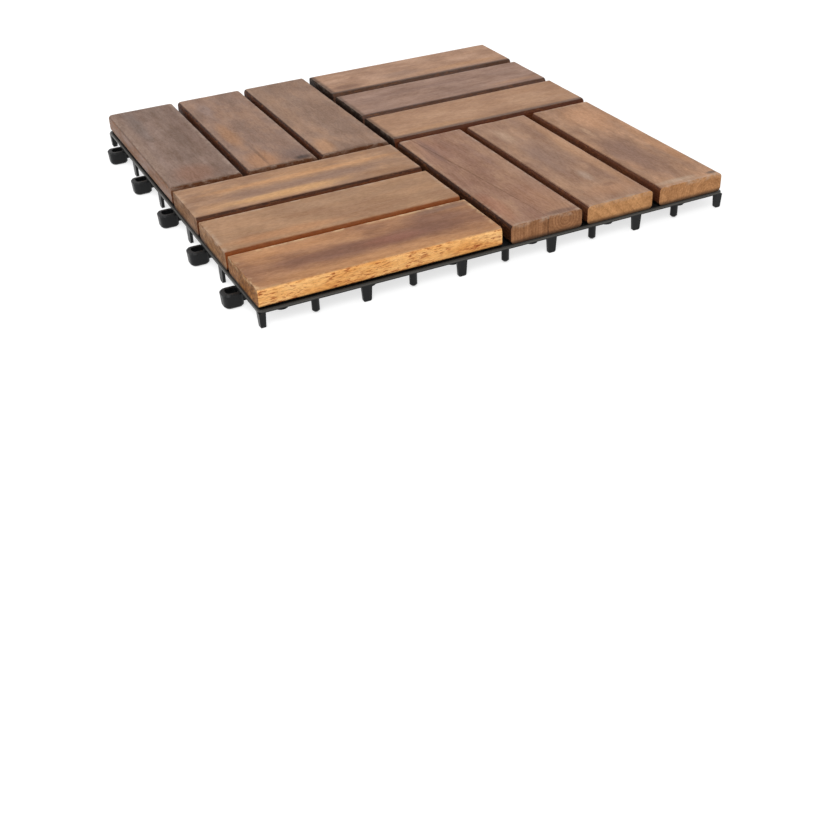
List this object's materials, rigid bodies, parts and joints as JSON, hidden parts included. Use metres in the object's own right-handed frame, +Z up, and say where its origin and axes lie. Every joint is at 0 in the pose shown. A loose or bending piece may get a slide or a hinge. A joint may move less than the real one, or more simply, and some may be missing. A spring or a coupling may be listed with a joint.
{
  "type": "interlocking deck tile",
  "caption": "Square deck tile with wooden slats in a basket pattern, screwed to a moulded grid base that clips to its neighbours by pegs and loops.",
  "frame": {"origin": "on the ground under the middle of the tile, at the end of the centre foot", "axes": "+X to the right along the front edge, +Y to the back, +Z up out of the deck face; pegs on the front and right edges, loops on the back and left edges"},
  "size_m": [0.3093, 0.3093, 0.0226],
  "materials": {
    "slat_front_left_1": "oiled, sanded smooth",
    "slat_front_left_2": "oiled, sanded smooth",
    "slat_front_left_3": "oiled, sanded smooth",
    "slat_front_right_1": "oiled, sanded smooth",
    "slat_front_right_2": "oiled, sanded smooth",
    "slat_front_right_3": "oiled, sanded smooth",
    "slat_back_left_1": "oiled, sanded smooth",
    "slat_back_left_2": "oiled, sanded smooth",
    "slat_back_left_3": "oiled, sanded smooth",
    "slat_back_right_1": "oiled, sanded smooth",
    "slat_back_right_2": "oiled, sanded smooth",
    "slat_back_right_3": "oiled, sanded smooth",
    "base_plastic": "satin moulded",
    "screw_steel": "zinc plated"
  },
  "bodies": {
    "root": {"slat_front_left_1": "slat_front_left_1", "slat_front_left_2": "slat_front_left_2", "slat_front_left_3": "slat_front_left_3", "slat_front_right_1": "slat_front_right_1", "slat_front_right_2": "slat_front_right_2", "slat_front_right_3": "slat_front_right_3", "slat_back_left_1": "slat_back_left_1", "slat_back_left_2": "slat_back_left_2", "slat_back_left_3": "slat_back_left_3", "slat_back_right_1": "slat_back_right_1", "slat_back_right_2": "slat_back_right_2", "slat_back_right_3": "slat_back_right_3", "base_grid": "base_plastic", "slat_screws": "screw_steel"}
  },
  "joints": []
}
